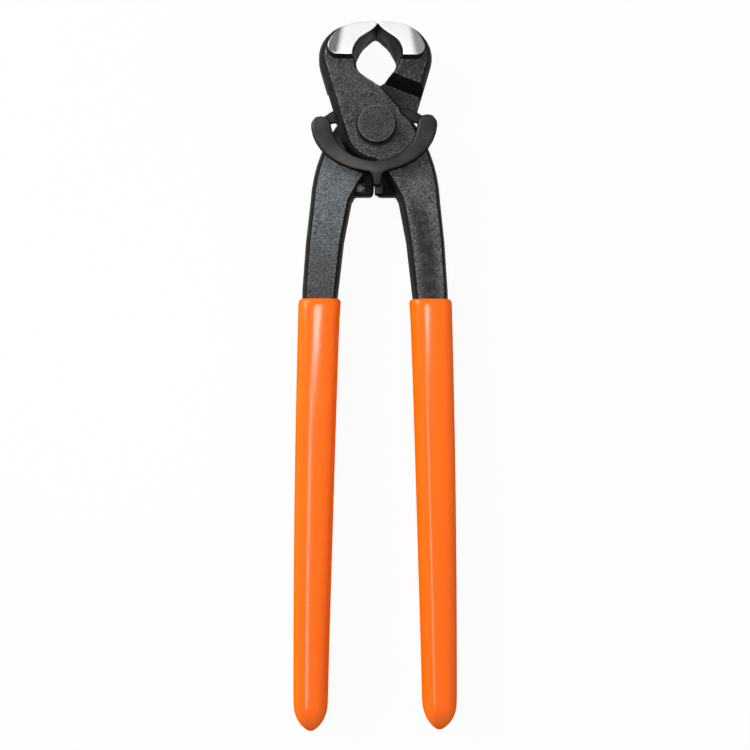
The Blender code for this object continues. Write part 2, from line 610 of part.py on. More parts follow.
def tang_cavity():
    """The tang's shape with its fit, running out past the sleeve's upper edge."""
    stations = tang_stations(FIT)
    above = GRIP_START - 3
    first = (above, tang_reading(above, 1), tang_reading(above, 2) + FIT)
    rings = []
    for below, middle, half in [first, *stations]:
        depth = between(-below, front_heights()) + FIT
        corner = half - HANDLE_INSET + FIT
        rolled = half - HANDLE_INSET * EDGE_ROLL_SHARE + FIT
        quarter = [(half, depth - FLANK_DRAFT), (rolled, depth - EDGE_ROLL), (corner, depth)]
        right = [(x, -z) for x, z in reversed(quarter)] + quarter
        left = [(-x, -z) for x, z in right]
        rings.append([(middle + x, -below, z) for x, z in right + left])
    return new_object("cavity", lofted(rings))


def make_grips(plastic, axis):
    grip = new_object("right_grip", lofted(grip_rings()))
    cut_or_join(grip, tang_cavity(), "DIFFERENCE")
    other = bpy.data.objects.new("left_grip", grip.data.copy())
    bpy.context.scene.collection.objects.link(other)
    other.rotation_euler = (0, pi, 0)
    finish(grip, "right_grip", plastic, axis, smooth_angle=50)
    finish(other, "left_grip", plastic, axis, smooth_angle=50)


def main():
    for obj in list(bpy.data.objects):
        bpy.data.objects.remove(obj)
    axis = bpy.data.objects.new("pivot_axis", None)
    axis.location = (0, 0, REST_HEIGHT * MM)
    bpy.context.scene.collection.objects.link(axis)
    forged = material("forged_steel", (0.055, 0.056, 0.06), 0.55, 0.7)
    riveted = material("rivet_steel", (0.05, 0.05, 0.052), 0.45, 0.7)
    moulding = material("yoke_moulding", (0.045, 0.045, 0.046), 0.45, 0.0)
    plastic = material("orange_plastic", (1.0, 0.16, 0.01), 0.35, 0.0)
    make_levers(forged, axis)
    make_pivot(riveted, axis)
    make_yoke(moulding, axis)
    make_grips(plastic, axis)
    bpy.context.view_layer.update()


main()
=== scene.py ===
# %% [markdown]
# Wire twisting pliers
#
# The CAD model gives the exact pieces: two forged levers, a moulded stop yoke, a rivet with its washer and
# bush, and two dipped grips. This lesson dresses them. Each piece is looked at as it is on the real tool,
# then made or refined with Blender's own operators, and given a finish from shader nodes.

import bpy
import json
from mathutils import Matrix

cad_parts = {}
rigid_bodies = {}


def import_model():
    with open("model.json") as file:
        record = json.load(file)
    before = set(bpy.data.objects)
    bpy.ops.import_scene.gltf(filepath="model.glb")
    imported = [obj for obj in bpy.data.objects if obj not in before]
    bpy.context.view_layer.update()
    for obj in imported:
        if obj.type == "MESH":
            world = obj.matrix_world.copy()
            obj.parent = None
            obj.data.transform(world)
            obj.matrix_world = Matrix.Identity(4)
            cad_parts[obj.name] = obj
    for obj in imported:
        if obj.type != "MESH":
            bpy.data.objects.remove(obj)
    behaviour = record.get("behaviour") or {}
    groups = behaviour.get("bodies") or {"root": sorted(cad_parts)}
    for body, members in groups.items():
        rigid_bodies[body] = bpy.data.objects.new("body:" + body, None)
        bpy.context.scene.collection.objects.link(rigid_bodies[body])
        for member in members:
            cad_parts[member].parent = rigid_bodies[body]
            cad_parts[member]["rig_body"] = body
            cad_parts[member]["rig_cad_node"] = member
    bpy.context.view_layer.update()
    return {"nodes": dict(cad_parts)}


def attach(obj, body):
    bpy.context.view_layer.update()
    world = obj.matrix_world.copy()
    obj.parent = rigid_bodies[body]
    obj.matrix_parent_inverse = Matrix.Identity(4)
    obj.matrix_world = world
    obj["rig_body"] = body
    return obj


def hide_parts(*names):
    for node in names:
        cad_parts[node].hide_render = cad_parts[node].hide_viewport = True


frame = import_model()

# %% [markdown]
# Sizes are written in millimetres, as a maker would read them off a drawing, and turned into metres where
# they are used. The joint's middle plane lies above the table by the height of the rivet's tail.

# %% Units and selection
import json
from math import atan2, copysign, pi, radians

import bpy
from mathutils import Vector

MM = 0.001
JOINT_HEIGHT = 11.7          # table to the joint's middle plane
WELD = 1e-6                  # metres; points nearer than this count as one


def only(obj):
    """Makes one object the selected and active one."""
    bpy.ops.object.select_all(action="DESELECT")
    obj.select_set(True)
    bpy.context.view_layer.objects.active = obj


def deselect_mesh(obj):
    """Deselects all points, edges and faces of a mesh, from object mode."""
    for part in (obj.data.vertices, obj.data.edges, obj.data.polygons):
        part.foreach_set("select", [False] * len(part))


def triangles(obj):
    """Counts an object's triangles, each polygon being a fan."""
    return sum(len(polygon.vertices) - 2 for polygon in obj.data.polygons)


print("one millimetre is", MM, "m")

# %% [markdown]
# The photograph looks straight down on the tool from about 40 cm, a little left of the pivot. A lens of
# 56 mm on a 36 mm sensor gives the same perspective: the throat's right wall shows and its left one hides.

# %% Camera
EYE = Vector((-16.30, -86.6, JOINT_HEIGHT + 415)) * MM
AIM = Vector((-0.05, -86.6, JOINT_HEIGHT)) * MM
IMAGE_PIXELS = 750
FOCAL_PIXELS = 1175
SENSOR = 36.0

look = AIM - EYE
bpy.ops.object.select_all(action="DESELECT")
bpy.ops.object.camera_add(location=EYE, rotation=(0, -atan2(look.x, -look.z), 0))
camera = bpy.context.object
camera.name = "camera"
camera.data.sensor_width = SENSOR
camera.data.lens = FOCAL_PIXELS / IMAGE_PIXELS * SENSOR
bpy.context.scene.camera = camera
print("camera", tuple(round(value, 4) for value in camera.location), "lens", round(camera.data.lens, 2))

# %% [markdown]
# Shader nodes are easier to read as sums than as boxes with wires. Field wraps a node's output so that plus,
# minus and times add Math nodes, and its step turns a value into a soft mask.

# %% Fields
class Field:
    """A value that changes over a surface, usable in Python sums."""

    def __init__(self, sheet, socket):
        self.sheet = sheet
        self.socket = socket

    def maths(self, operation, first, second):
        return self.sheet.node("ShaderNodeMath", {"operation": operation}, {0: first, 1: second})

    def __add__(self, other):
        return self.maths("ADD", self, other)

    def __sub__(self, other):
        return self.maths("SUBTRACT", self, other)

    def __rsub__(self, other):
        return self.maths("SUBTRACT", other, self)

    def __mul__(self, other):
        return self.maths("MULTIPLY", self, other)

    def __abs__(self):
        return self.maths("ABSOLUTE", self, 0)

    __radd__ = __add__
    __rmul__ = __mul__

    def step(self, low, high):
        """0 at low, 1 at high and a soft rise between; low may be the larger one."""
        return self.sheet.node("ShaderNodeMapRange", {"interpolation_type": "SMOOTHSTEP"},
                               {"Value": self, "From Min": low, "From Max": high})


print("fields ready")

# %% [markdown]
# Sheet is a node tree. Its node method makes any node from its type, its settings and its inputs, and the
# other methods are short names for the nodes that come up most. Patterns read Object coordinates, so they
# stay on a piece when it moves. Finish is the sheet of one material.

# %% Node sheets
COAT_GONE = 0.65             # Layer Weight's Facing where a clear coat has faded out
COAT_FULL = 0.25


class Sheet:
    """A node tree and the nodes that finishes use most."""

    def __init__(self, tree):
        self.tree = tree

    def node(self, kind, settings, inputs, output=0):
        made = self.tree.nodes.new(kind)
        for name, value in settings.items():
            setattr(made, name, value)
        for name, value in inputs.items():
            self.feed(made.inputs[name], value)
        return Field(self, made.outputs[output])

    def feed(self, socket, value):
        """Links a field to a socket, or sets a plain value on it."""
        if isinstance(value, Field):
            self.tree.links.new(value.socket, socket)
        else:
            socket.default_value = value

    def place(self):
        return self.node("ShaderNodeTexCoord", {}, {}, "Object")

    def stretched(self, scale):
        """Object coordinates, multiplied along each axis."""
        return self.node("ShaderNodeMapping", {}, {"Vector": self.place(), "Scale": scale})

    def parts(self, vector):
        """The x, y and z of a vector."""
        split = self.node("ShaderNodeSeparateXYZ", {}, {0: vector})
        return [Field(self, socket) for socket in split.socket.node.outputs]

    def flatness(self):
        """1 where a surface lies flat, 0 where it stands upright."""
        return abs(self.parts(self.node("ShaderNodeNewGeometry", {}, {}, "Normal"))[2])

    def noise(self, scale, detail=2.0, vector=None):
        return self.node("ShaderNodeTexNoise", {}, {"Vector": vector or self.place(), "Scale": scale,
                                                    "Detail": detail})

    def blend(self, share, first, second):
        """A colour between two colours."""
        return self.node("ShaderNodeMix", {"data_type": "RGBA"}, {0: share, 6: first, 7: second}, 2)

    def gloss(self, amount):
        """A clear coat's weight that fades where the surface turns away, as under a lamp in a dark room."""
        edge = self.node("ShaderNodeLayerWeight", {}, {"Blend": 0.5}, "Facing")
        return edge.step(COAT_GONE, COAT_FULL) * amount

    def bump(self, height, strength, distance):
        return self.node("ShaderNodeBump", {}, {"Height": height, "Strength": strength, "Distance": distance},
                         "Normal")


class Finish(Sheet):
    """One material."""

    def __init__(self, name):
        self.material = bpy.data.materials.new(name)
        self.material.use_nodes = True
        super().__init__(self.material.node_tree)
        self.shader = self.tree.nodes["Principled BSDF"]

    def set(self, **values):
        """Sets or links the shader's sockets; an underscore in a name stands for a space."""
        for name, value in values.items():
            self.feed(self.shader.inputs[name.replace("_", " ").title().replace("Ior", "IOR")], value)


def grey(value, blue=1.0):
    """A grey colour, with a little more blue in it if asked."""
    return value, value, value * blue, 1.0


print("node sheets ready")

# %% [markdown]
# The tool is photographed on white. A wide white floor takes its soft shadow. Most of what the camera sees
# of the floor is plain white, and the rest is real white paint that shows the shadow. The world is the white
# room round the table, dimmer where it only lights the tool.

# %% White floor and room
FLOOR_SIZE = 6.0             # metres
FLOOR_DROP = 0.2             # a hair below the tool, so that the two don't share a plane
FLOOR_PAINT = grey(0.75)
FLOOR_GLOW = 0.95            # share of the floor that the camera sees as plain white
ROOM_LIGHT = 0.27


def seen(sheet):
    """1 for rays that look at the background, straight or by way of metal or glass."""
    path = sheet.node("ShaderNodeLightPath", {}, {}, "Is Camera Ray")
    outputs = path.socket.node.outputs
    total = path
    for name in ("Is Glossy Ray", "Is Transmission Ray"):
        total = total.maths("MAXIMUM", total, Field(sheet, outputs[name]))
    return total


bpy.ops.object.select_all(action="DESELECT")
bpy.ops.mesh.primitive_plane_add(size=FLOOR_SIZE, location=(0, 0, -FLOOR_DROP * MM))
floor = bpy.context.object
floor.name = "floor"
paint = Finish("white_floor")
paint.set(base_color=FLOOR_PAINT, roughness=0.9, specular_ior_level=0)
glow = paint.node("ShaderNodeEmission", {}, {"Color": grey(1), "Strength": 1}, "Emission")
painted = Field(paint, paint.shader.outputs["BSDF"])
shown = paint.node("ShaderNodeMixShader", {}, {0: seen(paint) * FLOOR_GLOW, 1: painted, 2: glow}, "Shader")
paint.feed(paint.tree.nodes["Material Output"].inputs["Surface"], shown)
floor.data.materials.append(paint.material)

world = bpy.data.worlds.new("room")
world.use_nodes = True
room = Sheet(world.node_tree)
backdrop = world.node_tree.nodes["Background"]
backdrop.inputs["Color"].default_value = grey(1)
room.feed(backdrop.inputs["Strength"], ROOM_LIGHT + seen(room) * (1 - ROOM_LIGHT))
bpy.context.scene.world = world
bpy.context.scene.view_settings.view_transform = "Standard"
print("floor and room made")

# %% [markdown]
# Four lamps shape the tool. A large soft box stands up and to the left, so that left sides are paler than
# right ones. A small box nearly overhead leaves the pale patch on top of the left grip, and a long narrow
# strip lying along the handles draws the thin bright line down each grip. A weak box on the right keeps the
# right sides from going dull, and isn't mirrored in the gloss. Places and sizes are in metres.

# %% Lamps
def soft_box(name, place, aim, width, length, power, mirrored=True, spread=180):
    """A flat rectangular lamp, its long side along the tool; mirrored if glossy surfaces show it.

    The spread is the angle of its beam in degrees, as a honeycomb in front of the box narrows it.
    """
    bpy.ops.object.light_add(type="AREA", location=place)
    lamp = bpy.context.object
    lamp.name = name
    lamp.rotation_euler = (Vector(aim) - Vector(place)).to_track_quat("-Z", "Y").to_euler()
    lamp.data.shape = "RECTANGLE"
    lamp.data.size = width
    lamp.data.size_y = length
    lamp.data.energy = power
    lamp.data.spread = radians(spread)
    lamp.visible_glossy = mirrored
    print(name, power, "W")


soft_box("left_box", (-0.90, 0.45, 0.70), (0, -0.05, 0), 0.8, 0.8, 18.0)
soft_box("patch_box", (-0.065, -0.01, 1.0), (-0.028, -0.068, 0), 0.22, 0.12, 0.0120, spread=11)
soft_box("strip_box", (-0.155, -0.36, 1.0), (-0.155, -0.36, 0), 0.050, 0.55, 1.7)
soft_box("right_box", (0.85, -0.15, 0.55), (0, -0.10, 0), 0.6, 0.6, 2.0, mirrored=False)

# %% [markdown]
# Forged steel comes out of the die with a blasted, sparkling skin on its flat faces, while the sloped
# flanks stay smooth and nearly black. One finish shows both: the way a surface faces tells flat from flank.
# Forging holds the fields that the layers share. Its grains are finer than a millimetre, and its mottle is
# patches of some millimetres.

# %% Forged steel, shared fields
SKIN_BLACK = grey(0.012)


class Forging(Finish):
    """The finish of a lever."""

    def __init__(self, name):
        super().__init__(name)
        self.x, self.y, z = self.parts(self.place())
        self.lift = abs(z - JOINT_HEIGHT * MM)
        self.facing = self.flatness()
        self.mottle = self.noise(260, 3).step(0.32, 0.68)
        self.grain = self.noise(2500, 3)
        self.share = self.grain.step(0.36, 0.68) * 0.75 + self.mottle * 0.25
        self.specks = self.noise(2900, 1).step(0.60, 0.74)
        self.pits = self.noise(1500, 2).step(0.54, 0.64)

    def skin(self, dark, pale, speck, speck_share, pit=None, pit_share=0):
        """Dark and pale grains, with pits if asked, under bright specks."""
        layer = self.blend(self.share, dark, pale)
        if pit:
            layer = self.blend(self.pits * pit_share, layer, pit)
        return self.blend(self.specks * speck_share, layer, speck)


print("forged steel's fields ready")

# %% [markdown]
# The handles have their own tone. The left one is paler and bluish, and a painted shade darkens it towards
# its grip. The right one has a black stripe down its bent middle line.

# %% Handles
PALE_HANDLE_START = -1       # y where the rear lever's pale handle begins
DARK_HANDLE_START = -15
HANDLE_FADE = 6
PALE_HANDLE_SHADE = (-26, -58)
STRIPE_FADE = (-22, -32)
STRIPE_EDGE = 4.4            # middle line to the stripe's edge
STRIPE_CORE = 1.2
STRIPE_BLACK = grey(0.014)


def handle_middle(x, y):
    """1 along the middle of the right handle's black part, 0 towards its edges."""
    rest = y + 60 * MM
    middle = 19 * MM - rest * rest * 4.47
    return abs(x - middle).step(STRIPE_EDGE * MM, STRIPE_CORE * MM)


def pale_handle_skin(steel, skin):
    handle_tone = steel.skin((0.045, 0.050, 0.053, 1), (0.185, 0.202, 0.213, 1), (0.46, 0.48, 0.50, 1), 0.7,
                      SKIN_BLACK, 0.85)
    # painted shade: the pale handle darkens towards its grip
    high, low = PALE_HANDLE_SHADE
    return steel.blend(steel.y.step(high * MM, low * MM) * 0.75, handle_tone, skin)


def dark_handle_skin(steel):
    handle_tone = steel.skin(grey(0.018), grey(0.150, 1.02), grey(0.42), 0.75, grey(0.008), 0.75)
    blotch = steel.noise(420, 3).step(0.62, 0.40)
    high, low = STRIPE_FADE
    stripe = handle_middle(steel.x, steel.y) * steel.y.step(high * MM, low * MM)
    return steel.blend(stripe * (0.65 + blotch * 0.3), handle_tone, STRIPE_BLACK)


print("handles fade in over", HANDLE_FADE, "mm")

# %% [markdown]
# The jaw pads are ground bright after forging, so the finish turns to bare metal at their height. Their outer
# ends curve away, and a painted reflection turns them grey, along a border that leans a little and is frayed
# by the grinding lines.

# %% Ground pads
PAD_TOP = 11.0               # middle plane to the ground jaw pads
PAD_RIM = (0.14, 0.06)       # below the pad's top, where bare metal begins and is complete
PAD_CREST = 33.4             # y at which the grey border is measured
PAD_SHADE_START = 10.4       # middle of the tool to where a pad's outer end turns grey, at its crest
PAD_SHADE_WIDTH = 2.4
PAD_SHADE_LEAN = 0.2
PAD_SHADE_FRAY = 0.8
GRINDING_LINES = (4200, 160, 300)
GROUND_BRIGHT = grey(0.86, 1.01)
PAD_END_SHADE = grey(0.135, 1.01)
PAD_END_PALE_SHADE = grey(0.25, 1.01)
GRAZING_TINT = grey(0.02)    # bare steel mirrors less than an ideal metal where it is seen from the side


def pad_mask(steel):
    start, full = PAD_RIM
    return steel.lift.step((PAD_TOP - start) * MM, (PAD_TOP - full) * MM)


def pad_silver(steel, end_shade):
    lines = steel.noise(1.0, 2, steel.stretched(GRINDING_LINES))
    # painted reflection: the pad's outer end is coloured grey by its position
    outer = abs(steel.x) + (steel.y - PAD_CREST * MM) * PAD_SHADE_LEAN + (lines - 0.5) * PAD_SHADE_FRAY * MM
    shade = outer.step(PAD_SHADE_START * MM, (PAD_SHADE_START + PAD_SHADE_WIDTH) * MM)
    silver = steel.blend(shade, GROUND_BRIGHT, end_shade)
    return steel.blend(lines.step(0.35, 0.7) * 0.20, silver, grey(0.5))


print("pads are ground from", PAD_TOP - PAD_RIM[0], "mm up")

# %% [markdown]
# The layers come together from below: skin, the handles' tone with a painted shade on the left one, a painted
# shadow round the rivet's head, bright grains along the rounded edges that are partly rubbed steel and partly
# a painted highlight, black flanks, a painted reflection on one stop lug and the ground pads. The lugs lie
# deep between the handles and are as smooth as the flanks, and a painted shade makes them as dark.

# %% Forged steel
FLANK_BLACK = grey(0.008)
FLANK_GREY = grey(0.014)
RIVET_SHADOW_MIDDLE = (0.2, -0.35)
RIVET_SHADOW_RADIUS = (7.5, 6.7)    # where the painted shadow begins and is full
LUG_START = (-15, -16)
LUG_HEIGHT = (4.1, 3.5)
LUG_GLINT = (-5.4, -20.9, 14.5)
GLINT_RADIUS = (1.7, 0.9)
GLINT_FRAY = 3.2


# A painted shadow: a dark ring round the rivet's head, thicker on its lower right.
def rivet_shadow_mask(steel):
    x, y = RIVET_SHADOW_MIDDLE
    across = steel.node("ShaderNodeCombineXYZ", {}, {0: steel.x - x * MM, 1: steel.y - y * MM})
    reach = steel.node("ShaderNodeVectorMath", {"operation": "LENGTH"}, {0: across}, "Value")
    start, full = RIVET_SHADOW_RADIUS
    return reach.step(start * MM, full * MM)


# A painted reflection: a bright frayed patch on one stop lug.
def painted_glint(steel):
    spot = [value * MM for value in LUG_GLINT]
    reach = steel.node("ShaderNodeVectorMath", {"operation": "DISTANCE"},
                       {0: steel.place(), 1: spot}, "Value")
    start, full = GLINT_RADIUS
    return (reach + (steel.noise(700, 3) - 0.5) * GLINT_FRAY * MM).step(start * MM, full * MM)


def forged_finish(name, pale_skin, pale_handle):
    steel = Forging(name)
    skin = steel.skin(SKIN_BLACK, pale_skin, grey(0.30), 0.55)
    handle_tone = pale_handle_skin(steel, skin) if pale_handle else dark_handle_skin(steel)
    start = PALE_HANDLE_START if pale_handle else DARK_HANDLE_START
    skin = steel.blend(steel.y.step(start * MM, (start - HANDLE_FADE) * MM), skin, handle_tone)
    # painted shadow round the rivet's head
    skin = steel.blend(rivet_shadow_mask(steel), skin, FLANK_BLACK)
    # bright grains on the rounded edges: partly rubbed steel, partly a painted highlight
    wear_and_glint = steel.facing.step(0.80, 0.92) * steel.facing.step(0.999, 0.96) * steel.grain.step(0.48, 0.58)
    skin = steel.blend(wear_and_glint * 0.7, skin, grey(0.26))
    # painted shade: the lugs deep between the handles get the flanks' dark colour and little gloss
    lug_shade = steel.y.step(*[y * MM for y in LUG_START]) * steel.lift.step(*[z * MM for z in LUG_HEIGHT])
    flat = steel.facing.step(0.82, 0.96) * (1 - lug_shade)
    colour = steel.blend(flat, steel.blend(steel.mottle, FLANK_BLACK, FLANK_GREY), skin)
    # painted reflection on the stop lug
    glint = painted_glint(steel)
    colour = steel.blend(glint, colour, (0.21, 0.225, 0.25, 1))
    ground = pad_mask(steel)
    silver = pad_silver(steel, PAD_END_PALE_SHADE if pale_handle else PAD_END_SHADE)
    steel.set(base_color=steel.blend(ground, colour, silver), metallic=ground, specular_ior_level=0.015,
              specular_tint=GRAZING_TINT,
              coat_weight=steel.gloss(0.15) * (1 - ground) * (1 - lug_shade * 0.85), coat_roughness=0.35,
              roughness=0.45 + flat * 0.12 - ground * 0.355 - glint * 0.1,
              normal=steel.bump(steel.grain * flat * (1 - ground), 0.6, 0.00015))
    print(name, len(steel.tree.nodes), "nodes")
    return steel.material


# %% [markdown]
# The CAD levers have crisp edges. Forged ones don't: the die leaves every edge with a small radius. Bevelling
# such a many-sided body by hand goes wrong at its short edges, so a copy is remeshed into even little faces,
# which are then relaxed a few times. That rounds all edges alike and keeps the flat faces flat. Thinning out
# the faces afterwards keeps the copy light.

# %% Rounded copies
def rounded_copy(node, name, voxel, rounds, keep):
    """A copy of a CAD node with softened edges; keep is the share of its small faces that stay."""
    only(frame["nodes"][node])
    bpy.ops.object.duplicate()
    copy = bpy.context.object
    copy.name = name
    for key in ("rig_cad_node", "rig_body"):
        del copy[key]
    bpy.ops.object.mode_set(mode="EDIT")
    bpy.ops.mesh.select_all(action="SELECT")
    bpy.ops.mesh.remove_doubles(threshold=WELD)
    bpy.ops.object.mode_set(mode="OBJECT")
    even = copy.modifiers.new("even_faces", "REMESH")
    even.mode = "VOXEL"
    even.voxel_size = voxel * MM
    relax = copy.modifiers.new("relax", "SMOOTH")
    relax.factor = 0.5
    relax.iterations = rounds
    thin = copy.modifiers.new("thin_out", "DECIMATE")
    thin.ratio = keep
    for modifier in (even.name, relax.name, thin.name):
        bpy.ops.object.modifier_apply(modifier=modifier)
    bpy.ops.object.shade_smooth()
    copy.data.materials.clear()
    return copy


def dress(obj, material, body, slot, *nodes):
    """Gives a piece its finish and lets it ride on a body in place of CAD nodes."""
    obj.data.materials.append(material)
    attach(obj, body)
    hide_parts(*nodes)
    print(obj.name, triangles(obj), "triangles")


# %% [markdown]
# Rounding takes a little off the sharp cutting edges too, where the closed jaws should meet. The points next
# to the edge are drawn back to the middle of the tool.

# %% Cutting edges
EDGE_REACH = 0.7             # points nearer to the middle than this belong to a cutting edge
EDGE_LOW = 33.0
EDGE_LEFT_OPEN = 0.02        # share of a point's distance from the middle that stays


def close_edge(lever):
    only(lever)
    deselect_mesh(lever)
    for vertex in lever.data.vertices:
        vertex.select = abs(vertex.co.x) < EDGE_REACH * MM and vertex.co.y > EDGE_LOW * MM
    print(lever.name, sum(vertex.select for vertex in lever.data.vertices), "points on the cutting edge")
    bpy.ops.object.mode_set(mode="EDIT")
    bpy.ops.mesh.select_mode(type="VERT")
    bpy.ops.transform.resize(value=(EDGE_LEFT_OPEN, 1, 1), center_override=(0, 0, 0))
    bpy.ops.object.mode_set(mode="OBJECT")


# %% [markdown]
# In the photograph the jaws meet half a millimetre right of the axis, and the throat is fuller at the cutting
# edges in front than at the back. Points near the throat are pushed by these small amounts, which fade out
# towards the jaws' outsides.

# %% Throat
JAW_SHIFT = 0.55             # both jaws to the right
SHIFT_FADE = (16, 27)        # y where the shift begins and is full
NEAR_THROAT = (16, 8.5)      # distance from the middle where the push begins and is full
OFF_THE_EDGE = (0.3, 1.5)    # the same for what widens the throat, which leaves the cutting edge alone
THROAT_START = 13
FRONT_BELLY = 0.7            # how much wider the throat gets in front, at its sides
FRONT_EDGE = -0.75           # the same near the cutting edges
BACK_BELLY = -0.5
BACK_EDGE = 0.33
THROAT_FLOOR = -0.5          # the same at the throat's lowest place, front and back alike
FRONT_DEPTH = (-6, 6)        # from the back's shape to the front's, over the middle plane


def rise(value, low, high):
    """0 at low, 1 at high and a soft rise between; low may be the larger one."""
    share = min(max((value - low) / (high - low), 0), 1)
    return share * share * (3 - 2 * share)


def push_throat(lever, side):
    """Pushes a jaw's points near the throat; side is -1 for the left jaw and 1 for the right one."""
    for vertex in lever.data.vertices:
        x, y, z = vertex.co / MM
        near = rise(abs(x), *NEAR_THROAT)
        if y < THROAT_START or near == 0:
            continue
        front = FRONT_BELLY * rise(y, 22.5, 25) + (FRONT_EDGE - FRONT_BELLY) * rise(y, 29, 32.5)
        back = BACK_BELLY * rise(y, 22, 27.5) + (BACK_EDGE - BACK_BELLY) * rise(y, 27.5, 32)
        floor_push = THROAT_FLOOR * rise(y, THROAT_START, 15) * rise(y, 19, 16.5)
        share = rise(z - JOINT_HEIGHT, *FRONT_DEPTH)
        wider = (back + (front - back) * share + floor_push) * rise(abs(x), *OFF_THE_EDGE)
        vertex.co.x += (JAW_SHIFT * rise(y, *SHIFT_FADE) + side * wider) * near * MM
    lever.data.update()


# %% [markdown]
# Both levers are the same forging, one turned over, and go through the same steps. The front one has the
# left jaw and the right handle, and its skin is the paler one in the photograph.

# %% Levers
LEVER_VOXEL = 0.26
LEVER_ROUNDS = 7
LEVER_KEEP = 0.36

for lever_name, lever_body, side, pale_skin, pale_handle in (
        ("front_lever", "front_half", -1, grey(0.092), False),
        ("rear_lever", "rear_half", 1, grey(0.048), True)):
    lever = rounded_copy(lever_name, lever_name + "_forging", LEVER_VOXEL, LEVER_ROUNDS, LEVER_KEEP)
    close_edge(lever)
    push_throat(lever, side)
    dress(lever, forged_finish(lever_name + "_skin", pale_skin, pale_handle), lever_body, "forged_steel",
          lever_name)

# %% [markdown]
# The stop yoke is moulded in one piece: a crescent with two horns, a stem and a plate that rides on the
# pivot's bush. Its skin is smooth and satin, with soft edges all round, steep sides painted nearly black as
# shade, and a stem that is darker than the crescent.

# %% Stop yoke
YOKE_VOXEL = 0.28
YOKE_ROUNDS = 5
YOKE_KEEP = 0.6
STEM_START = (-15.5, -18)
SATIN_DARK = grey(0.012, 0.98)
SATIN_PALE = grey(0.040, 0.98)
STEM_BLACK = grey(0.008)
PAINTED_SIDE_SHADE = grey(0.003)


def satin_finish():
    satin = Finish("satin_moulding")
    cloud = satin.noise(75, 2).step(0.3, 0.7)
    fine = satin.noise(1800, 2)
    stem = satin.parts(satin.place())[1].step(*[y * MM for y in STEM_START])
    colour = satin.blend(cloud, SATIN_DARK, SATIN_PALE)
    colour = satin.blend(stem * 0.7, colour, STEM_BLACK)
    # painted shade: the steep sides are nearly black
    top = satin.flatness().step(0.35, 0.85)
    satin.set(base_color=satin.blend(top, PAINTED_SIDE_SHADE, colour), roughness=0.5, specular_ior_level=0.0,
              coat_weight=satin.gloss(0.30 + cloud * 0.2) * (1 - stem * 0.55) * (0.15 + top * 0.85),
              coat_roughness=0.36, normal=satin.bump(fine, 0.12, 0.00005))
    return satin.material


yoke = rounded_copy("stop_yoke", "yoke_moulding", YOKE_VOXEL, YOKE_ROUNDS, YOKE_KEEP)
dress(yoke, satin_finish(), "yoke", "yoke_moulding", "stop_yoke")

# %% [markdown]
# The rivet starts as a plain cylinder, the shank. Its ends are then drawn out into a head in front and a
# closing tail behind: each end face is widened, extruded, and rounded off at the rim in two short steps.

# %% Rivet
SHANK_RADIUS = 4.0
SHANK_SIDES = 96
HEAD_RADIUS = 6.35
HEAD_BASE = 8.8              # middle plane to the underside of the head
HEAD_TOP = 11.6
TAIL_RADIUS = 5.6
TAIL_BASE = 10.1             # middle plane to the upper side of the tail
RIM = 0.45
SMOOTH_ANGLE = 0.6           # radians; edges sharper than this stay crisp


def end_face(obj, sign):
    """Selects the flat face at the upper end (sign 1) or the lower end (sign -1) of an upright body."""
    bpy.ops.object.mode_set(mode="OBJECT")
    deselect_mesh(obj)
    level = max(sign * polygon.center.z for polygon in obj.data.polygons)
    for polygon in obj.data.polygons:
        polygon.select = sign * polygon.center.z > level - WELD
    bpy.ops.object.mode_set(mode="EDIT")


def draw_out(shift, scale):
    """Extrudes the selected face along the pivot axis and scales it about that axis."""
    bpy.ops.mesh.extrude_region_move(TRANSFORM_OT_translate={"value": (0, 0, shift * MM)})
    bpy.ops.transform.resize(value=(scale, scale, 1), center_override=(0, 0, 0))


def make_rivet():
    bpy.ops.object.select_all(action="DESELECT")
    middle = JOINT_HEIGHT + (HEAD_BASE - TAIL_BASE) / 2
    bpy.ops.mesh.primitive_cylinder_add(vertices=SHANK_SIDES, radius=SHANK_RADIUS * MM,
                                        depth=(HEAD_BASE + TAIL_BASE) * MM, location=(0, 0, middle * MM))
    rivet = bpy.context.object
    rivet.name = "rivet"
    bpy.ops.object.transform_apply(location=True, rotation=True, scale=True)
    for sign, radius, height in ((1, HEAD_RADIUS, HEAD_TOP - HEAD_BASE),
                                 (-1, TAIL_RADIUS, JOINT_HEIGHT - TAIL_BASE)):
        end_face(rivet, sign)
        draw_out(0, radius / SHANK_RADIUS)
        draw_out(sign * (height - RIM), 1)
        draw_out(sign * RIM * 0.6, 1 - 0.15 * RIM / radius)
        draw_out(sign * RIM * 0.4, 1 - RIM / radius)
        draw_out(0, 0.5)
    bpy.ops.mesh.select_all(action="SELECT")
    bpy.ops.mesh.normals_make_consistent(inside=False)
    bpy.ops.object.mode_set(mode="OBJECT")
    bpy.ops.object.shade_smooth_by_angle(angle=SMOOTH_ANGLE)
    return rivet


# %% [markdown]
# The rivet's steel is blasted like the levers, and a little smoother. Round the head's rim a highlight is
# painted bright, and the steep sides get painted shade. The washer and the bush, which hardly show, keep
# their
# CAD shapes and get the same finish.

# %% Rivet steel
RIM_HIGHLIGHT_RADIUS = (0.42, 0.30)    # inside the head's radius, where the painted rim highlight begins and is full
RIM_HIGHLIGHT_HEIGHT = (1.1, 0.6)      # below the head's top, where it begins and is full


